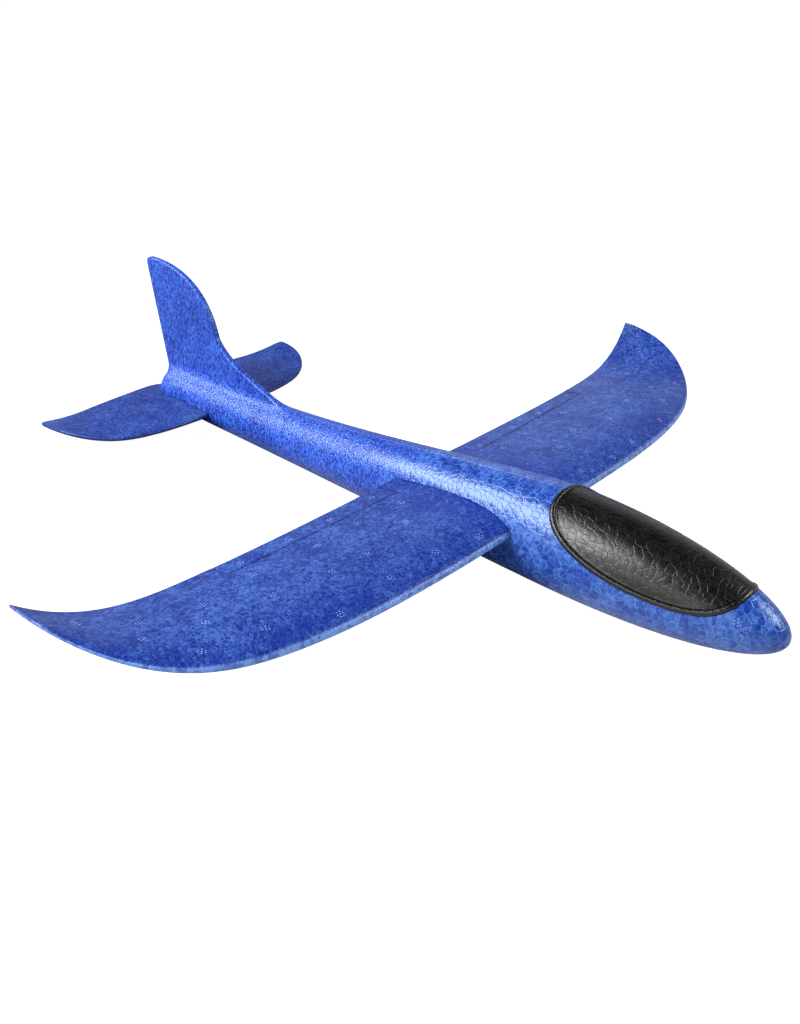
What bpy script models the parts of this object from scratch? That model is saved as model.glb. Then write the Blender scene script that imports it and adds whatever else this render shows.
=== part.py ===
"""Hand-launch foam glider, built as its separate mouldings.

Pieces: the fuselage with its fin, a wing that passes through a slot in the fuselage, two
trim flaps on the wing, a stabiliser in a slot of the tail cone, a lift-off canopy, and a
steel weight in a pocket under the canopy.

Frame: metres, +Z up, nose towards -Y, span along X, starboard at -X. The origin is on the
ground, under the middle of the glider's box.
"""
import math

import bmesh
import bpy
from mathutils import Matrix, Vector

# Driving dimensions
SPAN = 0.490
LENGTH = 0.4832
HEIGHT = 0.109
GAP = 0.0003

HALF_SPAN = SPAN / 2
NOSE_Y = -LENGTH / 2
REAR_Y = LENGTH / 2

# Fuselage: a round body, widest at the shoulder, with a domed tail cone
SHOULDER_Y = -0.117
SHOULDER_RADIUS = 0.0282
TAIL_RADIUS = 0.0151
TAIL_END_Y = 0.2315
DOME_START_Y = 0.2210
TIP_FLAT = 0.0010
NOSE_POWER = 2.10
NOSE_DROOP = 0.0042
BELLY_FLAT_DEPTH = 0.0006
TAIL_RISE = 0.0016
NOSE_RINGS = 16
MIDDLE_RINGS = 22
DOME_RINGS = 7
BODY_SEGMENTS = 44

# Fin, drawn in the plane x = 0 as (y, z)
FIN_ROOT_SWEEP = ((0.097, 0.031), (0.126, 0.043), (0.160, 0.049), (0.1697, 0.066))
FIN_TIP_SWEEP = ((0.1697, 0.066), (0.1725, 0.077), (0.181, 0.110), (0.2372, HEIGHT))
FIN_TIP_CORNER = ((0.2372, HEIGHT), (0.2405, 0.1086), (0.2418, 0.1070), (0.2415, 0.1040))
FIN_TRAILING_FOOT = (0.2290, 0.0240)
FIN_BASE_Z = 0.020
FIN_THICKNESS = 0.0044
FIN_EDGE_ROUNDING = 0.0010

# Wing: flat underside, upturned tips
WING_BOTTOM_Z = 0.031
WING_TIP_Y = 0.001
WING_LEADING_REACH = 0.103
WING_TRAILING_REACH = 0.015
WING_EDGE_ROOT = 0.0029
WING_EDGE_TIP = 0.0013
WING_EDGE_LENGTH = 0.05
WING_TRAILING_THICKNESS = 0.0020
WING_CROWN = 0.0205
WING_CROWN_TIP_SHARE = 0.15
WING_CURL_START_X = 0.1655
WING_CURL_HEIGHT = 0.0210
WING_DIHEDRAL_RISE = 0.0006
WING_TIP_CHORD_FADE = 4.0
WING_STATIONS = 22
WING_UPPER_POINTS = 13
WING_LOWER_POINTS = 5

# Trim flaps: a round nose in a round cove, both on the hinge axis
FLAP_INNER_X = 0.0345
FLAP_OUTER_X = 0.1500
HINGE_INNER_Y = -0.0289
HINGE_OUTER_Y = -0.0249
COVE_GAP = 0.00035
HINGE_SEGMENTS = 10
FLAP_STATIONS = 8

# Stabiliser: a thin plate with upturned tips
STAB_Z = 0.0142
STAB_THICKNESS = 0.0030
STAB_TRAILING_THICKNESS = 0.0018
STAB_HALF_SPAN = 0.1064
STAB_LEADING_Y = 0.1678
STAB_TIP_Y = 0.2296
STAB_TRAILING_SWEEP = 0.0095
STAB_NOTCH_DEPTH = 0.0070
STAB_NOTCH_HALF_WIDTH = 0.016
STAB_TIP_ROUND = 0.006
STAB_CURL_START_X = 0.070
STAB_CURL_HEIGHT = 0.0048
STAB_STATIONS = 17
STAB_EDGE_POINTS = 5
STAB_SLOT_HALF_WIDTH = 0.030

# Canopy: its lower edge in side view, as (y, z), and the bead around it
CANOPY_REAR_EDGE = ((-0.1142, 0.0570), (-0.1162, 0.0435), (-0.1480, 0.0288), (-0.1890, 0.0286))
CANOPY_FRONT_EDGE = ((-0.1890, 0.0286), (-0.2060, 0.0287), (-0.2176, 0.0322), (-0.2222, 0.0430))
CANOPY_TOP_Z = 0.070
CANOPY_EDGE_POINTS = 14
BEAD_RADIUS = 0.0012
BEAD_INSET = 0.0017
BEAD_PROUD = 0.0008

# Nose weight, a steel slug lying along Y in its pocket
WEIGHT_RADIUS = 0.006
WEIGHT_LENGTH = 0.022
WEIGHT_Y = -0.1960
WEIGHT_Z = 0.0185
WEIGHT_CHAMFER = 0.0008

CUTTER_HALF_WIDTH = 0.045


# Helpers

def bezier(points, count):
    """Points along one cubic Bezier curve, ends included."""
    a, b, c, d = (Vector(point) for point in points)
    curve = []
    for step in range(count + 1):
        t = step / count
        s = 1 - t
        curve.append(a * s ** 3 + b * (3 * s * s * t) + c * (3 * s * t * t) + d * t ** 3)
    return curve


def offset_outline(outline, distance):
    """Moves a closed counter-clockwise outline outwards by a distance."""
    moved = []
    count = len(outline)
    for index, point in enumerate(outline):
        before = (point - outline[index - 1]).normalized()
        after = (outline[(index + 1) % count] - point).normalized()
        normal_before = Vector((before.y, -before.x))
        normal_after = Vector((after.y, -after.x))
        middle = (normal_before + normal_after).normalized()
        reach = distance / max(middle.dot(normal_after), 0.5)
        moved.append(point + middle * reach)
    return moved


def make_material(name, colour, roughness, metallic=0.0):
    material = bpy.data.materials.new(name)
    material.use_nodes = True
    shader = material.node_tree.nodes["Principled BSDF"]
    shader.inputs["Base Color"].default_value = (*colour, 1.0)
    shader.inputs["Roughness"].default_value = roughness
    shader.inputs["Metallic"].default_value = metallic
    return material


def make_object(name, mesh_data, material=None):
    """A named object from a bmesh, with its faces turned outwards."""
    bmesh.ops.recalc_face_normals(mesh_data, faces=mesh_data.faces)
    mesh = bpy.data.meshes.new(name)
    mesh_data.to_mesh(mesh)
    mesh_data.free()
    thing = bpy.data.objects.new(name, mesh)
    bpy.context.scene.collection.objects.link(thing)
    if material:
        mesh.materials.append(material)
    return thing


def loft(name, rings, material=None):
    """A closed skin over rings of equal length, with a flat cap on each end."""
    mesh_data = bmesh.new()
    rows = [[mesh_data.verts.new(point) for point in ring] for ring in rings]
    count = len(rows[0])
    for row, following in zip(rows, rows[1:]):
        for index in range(count):
            ahead = (index + 1) % count
            mesh_data.faces.new((row[index], row[ahead], following[ahead], following[index]))
    mesh_data.faces.new(rows[0])
    mesh_data.faces.new(rows[-1])
    return make_object(name, mesh_data, material)


def prism(name, outline, x_start, x_end, material=None):
    """A side-view outline of (y, z) points, extruded along X."""
    rings = [[(x, point.x, point.y) for point in outline] for x in (x_start, x_end)]
    return loft(name, rings, material)


def box(name, low, high):
    corners = [Vector((low[1], low[2])), Vector((high[1], low[2]))]
    corners += [Vector((high[1], high[2])), Vector((low[1], high[2]))]
    return prism(name, corners, low[0], high[0])


def combine(target, tool, operation):
    """Applies one exact Boolean to the target and removes the tool."""
    modifier = target.modifiers.new(operation, "BOOLEAN")
    modifier.operation = operation
    modifier.solver = "EXACT"
    modifier.object = tool
    apply_modifiers(target)
    bpy.data.objects.remove(tool)


def apply_modifiers(target):
    graph = bpy.context.evaluated_depsgraph_get()
    result = bpy.data.meshes.new_from_object(target.evaluated_get(graph))
    result.name = target.name
    target.modifiers.clear()
    target.data = result


def move_origin(thing, place):
    """Puts an object's origin at a place and leaves its shape where it is."""
    thing.data.transform(Matrix.Translation(-Vector(place)))
    thing.location = place


def shade(thing, degrees=35):
    thing.data.shade_smooth()
    thing.data.set_sharp_from_angle(angle=math.radians(degrees))


# Fuselage

def body_radius(y):
    if y < SHOULDER_Y:
        ahead = (SHOULDER_Y - y) / (SHOULDER_Y - NOSE_Y)
        return max(SHOULDER_RADIUS * math.sqrt(max(1 - ahead ** NOSE_POWER, 0)), TIP_FLAT)
    aft = min((y - SHOULDER_Y) / (TAIL_END_Y - SHOULDER_Y), 1)
    radius = TAIL_RADIUS + (SHOULDER_RADIUS - TAIL_RADIUS) * (1 - aft ** 1.4) ** 2.75
    if y > DOME_START_Y:
        dome = min((y - DOME_START_Y) / (TAIL_END_Y - DOME_START_Y), 1)
        radius = max(radius * (1 - dome ** 2.2) ** (1 / 2.2), TIP_FLAT)
    return radius


def body_centre(y):
    shoulder_z = SHOULDER_RADIUS - BELLY_FLAT_DEPTH
    if y < SHOULDER_Y:
        ahead = (SHOULDER_Y - y) / (SHOULDER_Y - NOSE_Y)
        return shoulder_z - NOSE_DROOP * ahead ** 2
    barrel = min(y, DOME_START_Y)
    aft = (barrel - SHOULDER_Y) / (TAIL_END_Y - SHOULDER_Y)
    return body_radius(barrel) - BELLY_FLAT_DEPTH + TAIL_RISE * aft ** 2


def body_stations():
    nose = [SHOULDER_Y + (NOSE_Y - SHOULDER_Y) * (1 - (i / NOSE_RINGS) ** 2) for i in range(NOSE_RINGS)]
    step = (DOME_START_Y - SHOULDER_Y) / MIDDLE_RINGS
    middle = [SHOULDER_Y + step * i for i in range(MIDDLE_RINGS)]
    reach = TAIL_END_Y - DOME_START_Y
    dome = [DOME_START_Y + reach * math.sin(math.pi / 2 * i / DOME_RINGS) for i in range(DOME_RINGS + 1)]
    return nose + middle + dome


def body_loft(name, material=None):
    rings = []
    for y in body_stations():
        radius = body_radius(y)
        centre = body_centre(y)
        ring = []
        for index in range(BODY_SEGMENTS):
            angle = 2 * math.pi * index / BODY_SEGMENTS
            ring.append((radius * math.cos(angle), y, centre + radius * math.sin(angle)))
        rings.append(ring)
    return loft(name, rings, material)


def make_fin():
    outline = bezier(FIN_ROOT_SWEEP, 8)[:-1] + bezier(FIN_TIP_SWEEP, 12)
    outline += bezier(FIN_TIP_CORNER, 4)[1:]
    outline.append(Vector(FIN_TRAILING_FOOT))
    outline.append(Vector((FIN_TRAILING_FOOT[0] - 0.006, FIN_BASE_Z)))
    outline.append(Vector((FIN_ROOT_SWEEP[0][0] + 0.008, FIN_BASE_Z)))
    fin = prism("fin", outline, -FIN_THICKNESS / 2, FIN_THICKNESS / 2)
    rounding = fin.modifiers.new("rounding", "BEVEL")
    rounding.width = FIN_EDGE_ROUNDING
    rounding.segments = 3
    rounding.limit_method = "ANGLE"
    rounding.angle_limit = math.radians(60)
    apply_modifiers(fin)
    return fin


def make_fuselage(material):
    fuselage = body_loft("fuselage", material)
    combine(fuselage, make_fin(), "UNION")
    below = box("below", (-CUTTER_HALF_WIDTH, NOSE_Y - 0.01, -0.02), (CUTTER_HALF_WIDTH, REAR_Y + 0.01, 0))
    combine(fuselage, below, "DIFFERENCE")

    slot_outline = offset_outline(wing_outline(0), GAP)
    wing_slot = prism("wing_slot", slot_outline, -CUTTER_HALF_WIDTH, CUTTER_HALF_WIDTH)
    combine(fuselage, wing_slot, "DIFFERENCE")

    slot_height = STAB_THICKNESS / 2 + GAP
    slot_low = (-STAB_SLOT_HALF_WIDTH, STAB_LEADING_Y - GAP, STAB_Z - slot_height)
    slot_high = (STAB_SLOT_HALF_WIDTH, REAR_Y + 0.01, STAB_Z + slot_height)
    combine(fuselage, box("stab_slot", slot_low, slot_high), "DIFFERENCE")

    seat = prism("seat", canopy_side_outline(), -CUTTER_HALF_WIDTH, CUTTER_HALF_WIDTH)
    combine(fuselage, seat, "DIFFERENCE")
    combine(fuselage, weight_pocket(), "DIFFERENCE")
    shade(fuselage)
    return fuselage


# Canopy

def canopy_edge():
    return bezier(CANOPY_REAR_EDGE, CANOPY_EDGE_POINTS)[:-1] + bezier(CANOPY_FRONT_EDGE, CANOPY_EDGE_POINTS)


def canopy_side_outline():
    """Everything above the canopy's edge in side view, counter-clockwise."""
    edge = canopy_edge()
    edge.reverse()
    outline = edge + [Vector((edge[-1].x, CANOPY_TOP_Z)), Vector((edge[0].x, CANOPY_TOP_Z))]
    return outline


def bead_path():
    """The bead's centre line on the body's skin, once around the canopy."""
    inner = offset_outline(canopy_side_outline(), -BEAD_INSET)[:2 * CANOPY_EDGE_POINTS + 1]
    half = []
    for point in inner:
        reach = body_radius(point.x) + BEAD_PROUD - BEAD_RADIUS
        rise = point.y - body_centre(point.x)
        if rise < reach:
            half.append(Vector((-math.sqrt(reach * reach - rise * rise), point.x, point.y)))
    other = [Vector((-point.x, point.y, point.z)) for point in reversed(half)]
    return half + other


def make_bead():
    curve = bpy.data.curves.new("bead", "CURVE")
    curve.dimensions = "3D"
    curve.bevel_depth = BEAD_RADIUS
    curve.bevel_resolution = 2
    path = bead_path()
    spline = curve.splines.new("POLY")
    spline.points.add(len(path) - 1)
    for point, place in zip(spline.points, path):
        point.co = (*place, 1)
    spline.use_cyclic_u = True
    guide = bpy.data.objects.new("bead_curve", curve)
    bpy.context.scene.collection.objects.link(guide)
    graph = bpy.context.evaluated_depsgraph_get()
    mesh = bpy.data.meshes.new_from_object(guide.evaluated_get(graph))
    bpy.data.objects.remove(guide)
    bead = bpy.data.objects.new("bead", mesh)
    bpy.context.scene.collection.objects.link(bead)
    return bead


def make_canopy(material):
    canopy = body_loft("canopy", material)
    outline = offset_outline(canopy_side_outline(), -GAP)
    region = prism("region", outline, -CUTTER_HALF_WIDTH, CUTTER_HALF_WIDTH)
    combine(canopy, region, "INTERSECT")
    combine(canopy, make_bead(), "UNION")
    shade(canopy)
    return canopy


# Nose weight

def weight_pocket():
    """A round-bottomed pocket, open upwards into the canopy's seat."""
    radius = WEIGHT_RADIUS + GAP
    half_length = WEIGHT_LENGTH / 2 + GAP
    mesh_data = bmesh.new()
    bmesh.ops.create_cone(mesh_data, cap_ends=True, segments=24, radius1=radius, radius2=radius,
                          depth=2 * half_length)
    bmesh.ops.rotate(mesh_data, verts=mesh_data.verts, matrix=Matrix.Rotation(math.pi / 2, 3, "X"))
    bmesh.ops.translate(mesh_data, verts=mesh_data.verts, vec=(0, WEIGHT_Y, WEIGHT_Z))
    pocket = make_object("pocket", mesh_data)
    shaft_low = (-radius, WEIGHT_Y - half_length, WEIGHT_Z)
    shaft_high = (radius, WEIGHT_Y + half_length, CANOPY_TOP_Z)
    combine(pocket, box("shaft", shaft_low, shaft_high), "UNION")
    return pocket


def make_weight(material):
    mesh_data = bmesh.new()
    bmesh.ops.create_cone(mesh_data, cap_ends=True, segments=24, radius1=WEIGHT_RADIUS,
                          radius2=WEIGHT_RADIUS, depth=WEIGHT_LENGTH)
    bmesh.ops.rotate(mesh_data, verts=mesh_data.verts, matrix=Matrix.Rotation(math.pi / 2, 3, "X"))
    weight = make_object("nose_weight", mesh_data, material)
    weight.location = (0, WEIGHT_Y, WEIGHT_Z)
    chamfer = weight.modifiers.new("chamfer", "BEVEL")
    chamfer.width = WEIGHT_CHAMFER
    chamfer.segments = 1
    chamfer.limit_method = "ANGLE"
    chamfer.angle_limit = math.radians(50)
    shade(weight)
    return weight


# Wing

def wing_edges(x):
    """Leading and trailing edge positions at one distance from the middle."""
    share = min(abs(x) / HALF_SPAN, 1)
    leading = WING_TIP_Y - WING_LEADING_REACH * (1 - share ** WING_TIP_CHORD_FADE) ** (1 / 2.2)
    trailing = WING_TIP_Y - WING_TRAILING_REACH * (1 - share ** 4.5)
    return leading, trailing


def wing_lift(x):
    """How far the underside rises at one distance from the middle, most of it in the tip curl."""
    share = abs(x) / HALF_SPAN
    past = max(abs(x) - WING_CURL_START_X, 0) / (HALF_SPAN - WING_CURL_START_X)
    return WING_DIHEDRAL_RISE * share ** 2 + WING_CURL_HEIGHT * past ** 3


def wing_fullness(x):
    """The height of the crown at one place, as a share of its height at the root."""
    past = max(abs(x) - FLAP_OUTER_X, 0) / (HALF_SPAN - FLAP_OUTER_X)
    return 1 - (1 - WING_CROWN_TIP_SHARE) * past ** 1.6


def upper_height(x, chord_share):
    full = wing_fullness(x)
    edge = WING_EDGE_TIP + (WING_EDGE_ROOT - WING_EDGE_TIP) * full
    nose = edge * (1 - chord_share) ** 40
    crown = WING_CROWN * full * chord_share ** 0.4 * (1 - chord_share) ** 1.1
    return nose + crown + WING_TRAILING_THICKNESS * min(chord_share * 6, 1) ** 0.5 * (0.3 + 0.7 * chord_share)


def lower_height(x, chord_share):
    edge = WING_EDGE_TIP + (WING_EDGE_ROOT - WING_EDGE_TIP) * wing_fullness(x)
    run = min(chord_share / WING_EDGE_LENGTH, 1)
    return edge * (1 - math.sqrt(run * (2 - run)))


def wing_outline(x):
    """The aerofoil at one station as (y, z), counter-clockwise seen from +X."""
    leading, trailing = wing_edges(x)
    outline = []
    for index in range(WING_LOWER_POINTS):
        share = WING_EDGE_LENGTH * (index / (WING_LOWER_POINTS - 1)) ** 2
        outline.append((share, lower_height(x, share)))
    outline.append((1, 0))
    for index in range(WING_UPPER_POINTS):
        share = 1 - math.sin(math.pi / 2 * index / WING_UPPER_POINTS)
        outline.append((share, upper_height(x, share)))
    base = WING_BOTTOM_Z + wing_lift(x)
    return [Vector((leading + share * (trailing - leading), base + height)) for share, height in outline]


def wing_stations():
    half = [HALF_SPAN * math.sin(math.pi / 2 * i / WING_STATIONS) for i in range(WING_STATIONS)]
    half.append(HALF_SPAN * 0.9995)
    return [-x for x in reversed(half[1:])] + half


def hinge_end(x, y):
    """The hinge axis at one end of the flap as (y, z), half way up the wing, and its radius."""
    leading, trailing = wing_edges(x)
    radius = upper_height(x, (y - leading) / (trailing - leading)) / 2
    return Vector((y, WING_BOTTOM_Z + wing_lift(x) + radius)), radius


def hinge_at(x):
    """The straight hinge axis at one distance from the middle, and the nose's radius there."""
    inner, inner_radius = hinge_end(FLAP_INNER_X, HINGE_INNER_Y)
    outer, outer_radius = hinge_end(FLAP_OUTER_X, HINGE_OUTER_Y)
    share = (abs(x) - FLAP_INNER_X) / (FLAP_OUTER_X - FLAP_INNER_X)
    return inner.lerp(outer, share), inner_radius + (outer_radius - inner_radius) * share


def half_circle(centre, radius):
    """Points (y, z) from the top of a circle round its front to the bottom."""
    points = []
    for index in range(HINGE_SEGMENTS + 1):
        angle = math.pi * (0.5 + index / HINGE_SEGMENTS)
        points.append(centre + Vector((math.cos(angle), math.sin(angle))) * radius)
    return points


def flap_recess(side):
    """The flap's place in the wing, open to the rear, with a round cove at the hinge."""
    reach = 0.02
    rings = []
    for x in (FLAP_INNER_X, FLAP_OUTER_X):
        centre, radius = hinge_at(x)
        outline = half_circle(centre, radius + COVE_GAP)
        corners = ((0, -reach), (2 * reach, -reach), (2 * reach, reach), (0, reach))
        outline += [centre + Vector(corner) for corner in corners]
        rings.append([(side * x, point.x, point.y) for point in outline])
    return loft("recess", rings)


def make_wing(material):
    rings = [[(x, point.x, point.y) for point in wing_outline(x)] for x in wing_stations()]
    wing = loft("wing", rings, material)
    combine(wing, flap_recess(-1), "DIFFERENCE")
    combine(wing, flap_recess(1), "DIFFERENCE")
    shade(wing)
    return wing


def flap_outline(x):
    """One flap station: round nose on the hinge axis, then back to the trailing edge."""
    leading, trailing = wing_edges(x)
    centre, radius = hinge_at(x)
    base = WING_BOTTOM_Z + wing_lift(x)
    outline = half_circle(centre, radius)
    outline.append(Vector((trailing, base)))
    for share_back in (1, 0.75, 0.5, 0.25):
        y = centre.x + (trailing - centre.x) * share_back
        height = upper_height(x, (y - leading) / (trailing - leading))
        outline.append(Vector((y, base + height)))
    return outline


def make_flap(name, side, material):
    """One trim flap, with its origin on the hinge axis."""
    inner = FLAP_INNER_X + COVE_GAP
    outer = FLAP_OUTER_X - COVE_GAP
    rings = []
    for index in range(FLAP_STATIONS):
        x = inner + (outer - inner) * index / (FLAP_STATIONS - 1)
        rings.append([(side * x, point.x, point.y) for point in flap_outline(x)])
    flap = loft(name, rings, material)
    middle = (inner + outer) / 2
    axis_point, _ = hinge_at(middle)
    move_origin(flap, (side * middle, axis_point.x, axis_point.y))
    shade(flap)
    return flap


# Stabiliser

def stab_edges(x):
    share = min(abs(x) / STAB_HALF_SPAN, 1)
    leading = STAB_TIP_Y - (STAB_TIP_Y - STAB_LEADING_Y) * (1 - share ** 3.5) ** (1 / 2.05)
    notch = max(1 - abs(x) / STAB_NOTCH_HALF_WIDTH, 0)
    trailing = REAR_Y - STAB_TRAILING_SWEEP * share ** 2 - STAB_NOTCH_DEPTH * notch ** 2
    past = max(abs(x) - (STAB_HALF_SPAN - STAB_TIP_ROUND), 0) / STAB_TIP_ROUND
    round_depth = REAR_Y - STAB_TRAILING_SWEEP - STAB_TIP_Y
    trailing -= round_depth * (1 - math.sqrt(max(1 - past * past, 0)))
    return leading, trailing


def stab_lift(x):
    past = max(abs(x) - STAB_CURL_START_X, 0) / (STAB_HALF_SPAN - STAB_CURL_START_X)
    return STAB_CURL_HEIGHT * past ** 2


def stab_outline(x):
    """A plate section with a round leading edge and a thinner trailing edge."""
    leading, trailing = stab_edges(x)
    chord = trailing - leading
    nose = min(STAB_THICKNESS / 2, chord / 4)
    past = max(abs(x) - STAB_CURL_START_X, 0) / (STAB_HALF_SPAN - STAB_CURL_START_X)
    half = STAB_THICKNESS / 2 * (1 - 0.35 * past ** 2)
    back = STAB_TRAILING_THICKNESS / 2
    centre = STAB_Z + stab_lift(x)
    outline = []
    for index in range(STAB_EDGE_POINTS):
        angle = math.pi / 2 * (1 + 2 * index / (STAB_EDGE_POINTS - 1))
        outline.append(Vector((leading + nose + nose * math.cos(angle), centre + half * math.sin(angle))))
    outline.append(Vector((trailing - chord * 0.25, centre - half)))
    outline.append(Vector((trailing, centre - back)))
    outline.append(Vector((trailing, centre + back)))
    outline.append(Vector((trailing - chord * 0.25, centre + half)))
    return outline


def make_stabiliser(material):
    half = [STAB_HALF_SPAN * math.sin(math.pi / 2 * i / STAB_STATIONS) for i in range(STAB_STATIONS)]
    half.append(STAB_HALF_SPAN * 0.999)
    stations = [-x for x in reversed(half[1:])] + half
    rings = [[(x, point.x, point.y) for point in stab_outline(x)] for x in stations]
    stabiliser = loft("stabiliser", rings, material)
    shade(stabiliser)
    return stabiliser


def main():
    for thing in list(bpy.data.objects):
        bpy.data.objects.remove(thing)
    blue_foam = make_material("blue_foam", (0.045, 0.105, 0.58), 0.42)
    black_foam = make_material("black_foam", (0.012, 0.012, 0.013), 0.38)
    steel = make_material("steel", (0.55, 0.55, 0.56), 0.35, 1.0)
    make_fuselage(blue_foam)
    make_wing(blue_foam)
    make_flap("flap_starboard", -1, blue_foam)
    make_flap("flap_port", 1, blue_foam)
    make_stabiliser(blue_foam)
    make_canopy(black_foam)
    make_weight(steel)


main()
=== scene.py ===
"""Looks of the hand-launch foam glider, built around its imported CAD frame.

Each moulding is lofted again at a fine resolution from the same curves as the CAD, with the
detail the foam shows: the canopy's rim and groove, the fin's fillet, the parting line, the
steam-vent pins and the moulded bead texture. Metres, +Z up, nose towards -Y.
"""

import math
import random

import bmesh
import bpy
import numpy as np
from mathutils import Matrix, Vector


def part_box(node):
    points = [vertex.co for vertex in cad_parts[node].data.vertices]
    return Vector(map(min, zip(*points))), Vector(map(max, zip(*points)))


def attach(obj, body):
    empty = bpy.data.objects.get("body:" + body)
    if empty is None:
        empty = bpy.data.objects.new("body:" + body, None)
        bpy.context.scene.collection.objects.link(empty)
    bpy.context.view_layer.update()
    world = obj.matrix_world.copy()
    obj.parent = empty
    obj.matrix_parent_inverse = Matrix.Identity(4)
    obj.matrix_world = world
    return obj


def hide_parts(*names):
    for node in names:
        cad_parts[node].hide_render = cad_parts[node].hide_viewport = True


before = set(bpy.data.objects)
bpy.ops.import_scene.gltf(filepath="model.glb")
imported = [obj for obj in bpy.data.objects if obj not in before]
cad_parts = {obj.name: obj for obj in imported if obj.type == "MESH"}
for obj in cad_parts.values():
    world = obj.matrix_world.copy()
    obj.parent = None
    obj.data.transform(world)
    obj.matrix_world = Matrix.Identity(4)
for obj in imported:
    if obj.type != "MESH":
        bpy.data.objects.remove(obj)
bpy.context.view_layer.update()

BODY_LOW, BODY_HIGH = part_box("fuselage")
WING_LOW, WING_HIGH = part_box("wing")
STAB_LOW, STAB_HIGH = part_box("stabiliser")
SLUG_LOW, SLUG_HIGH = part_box("nose_weight")
GAP = 0.0003

# Fuselage
NOSE_Y = BODY_LOW.y
SHOULDER_Y = NOSE_Y + 0.1246
SHOULDER_RADIUS = 0.0282
TAIL_RADIUS = 0.0151
TAIL_END_Y = NOSE_Y + 0.4731
DOME_START_Y = TAIL_END_Y - 0.0105
TIP_FLAT = 0.0010
NOSE_POWER = 2.10
BOOM_TAPER_ONSET = 1.4
BOOM_TAPER_POWER = 2.75
DOME_POWER = 2.2
NOSE_DROOP = 0.0042
BELLY_FLAT_DEPTH = 0.0006
TAIL_RISE = 0.0016
BODY_SEGMENTS = 96
FUSELAGE_VOXEL = 0.0008

# Fin, drawn in the plane x = 0 as (y, z)
FIN_TOP = BODY_HIGH.z
FIN_ROOT_SWEEP = ((0.097, 0.031), (0.126, 0.043), (0.160, 0.049), (0.1697, 0.066))
FIN_TIP_SWEEP = ((0.1697, 0.066), (0.1725, 0.077), (0.181, 0.110), (0.2372, FIN_TOP))
FIN_TIP_CORNER = ((0.2372, FIN_TOP), (0.2405, 0.1086), (0.2418, 0.1070), (0.2415, 0.1040))
FIN_TRAILING_FOOT = (0.2290, 0.0240)
FIN_BASE_Z = 0.020
FIN_THICKNESS = 0.0044
FIN_ROUNDING = 0.0011
FIN_FILLET = 0.0060
FILLET_START_Y = FIN_ROOT_SWEEP[0][0] - 0.012
FILLET_PASSES = 3
FILLET_LONGEST_STEP = 0.0015

# Parting line
PARTING_START_Y = -0.111
PARTING_END_Y = 0.100
PARTING_HALF_WIDTH = 0.00055
PARTING_HEIGHT = 0.00028
PARTING_SUNK = 0.00006
PARTING_STATIONS = 180

# Wing
HALF_SPAN = WING_HIGH.x
WING_BOTTOM_Z = WING_LOW.z
WING_TIP_Y = WING_HIGH.y
WING_LEADING_REACH = WING_HIGH.y - WING_LOW.y
WING_TRAILING_REACH = 0.015
WING_LEADING_POWER = 4
WING_LEADING_ROUND = 2.2
WING_TRAILING_POWER = 4.5
WING_EDGE_ROOT = 0.0029
WING_EDGE_TIP = 0.0013
WING_EDGE_LENGTH = 0.05
WING_NOSE_ROLL = 0.05
WING_TRAILING_THICKNESS = 0.0020
WING_CROWN = 0.0205
WING_CROWN_TIP_SHARE = 0.15
WING_CROWN_RISE = 0.4
WING_CROWN_FALL = 1.1
WING_NOSE_FADE = 40
WING_THINNING_POWER = 1.6
WING_CURL_START_X = 0.1655
WING_CURL_HEIGHT = 0.0210
WING_CURL_POWER = 3
WING_DIHEDRAL_RISE = 0.0006
WING_STATIONS = 110
WING_UPPER_POINTS = 44
WING_LOWER_POINTS = 10

# Trim flaps
FLAP_INNER_X = 0.0345
FLAP_OUTER_X = 0.1500
HINGE_INNER_Y = -0.0289
HINGE_OUTER_Y = -0.0249
COVE_GAP = 0.00035
HINGE_SEGMENTS = 20
FLAP_STATIONS = 60
FLAP_TOP_STEPS = 12
FLAP_BEVEL = 0.00025
RECESS_REACH = 0.02

# Stabiliser
STAB_Z = STAB_LOW.z + 0.0015
STAB_THICKNESS = 0.0030
STAB_TRAILING_THICKNESS = 0.0018
STAB_HALF_SPAN = STAB_HIGH.x
STAB_LEADING_Y = STAB_LOW.y
STAB_TIP_Y = STAB_LOW.y + 0.0618
STAB_REAR_Y = 0.2416
STAB_LEADING_POWER = 3.5
STAB_LEADING_ROUND = 2.05
STAB_TRAILING_SWEEP = 0.0095
STAB_NOTCH_DEPTH = 0.0070
STAB_NOTCH_HALF_WIDTH = 0.016
STAB_TIP_ROUND = 0.006
STAB_CURL_START_X = 0.070
STAB_CURL_HEIGHT = 0.0048
STAB_TIP_THINNING = 0.35
STAB_TAPER_SHARE = 0.25
STAB_NOSE_STEPS = 12
STAB_SLOT_HALF_WIDTH = 0.030
STAB_STATIONS = 70

# Canopy
CANOPY_REAR_EDGE = ((-0.1142, 0.0570), (-0.1162, 0.0435), (-0.1480, 0.0288), (-0.1890, 0.0286))
CANOPY_FRONT_EDGE = ((-0.1890, 0.0286), (-0.2060, 0.0287), (-0.2176, 0.0322), (-0.2222, 0.0430))
CANOPY_TOP_Z = 0.070
RIM_STEPS = 150
RIM_WIDTH = 0.0026
RIM_PROUD = 0.0008
GROOVE_WIDTH = 0.0006
GROOVE_DEPTH = 0.00035
LIP_PROUD = 0.00015
CREST_INSET = 0.016
CREST_ROWS = 34
UNDERSIDE_STEPS = 12

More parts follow.
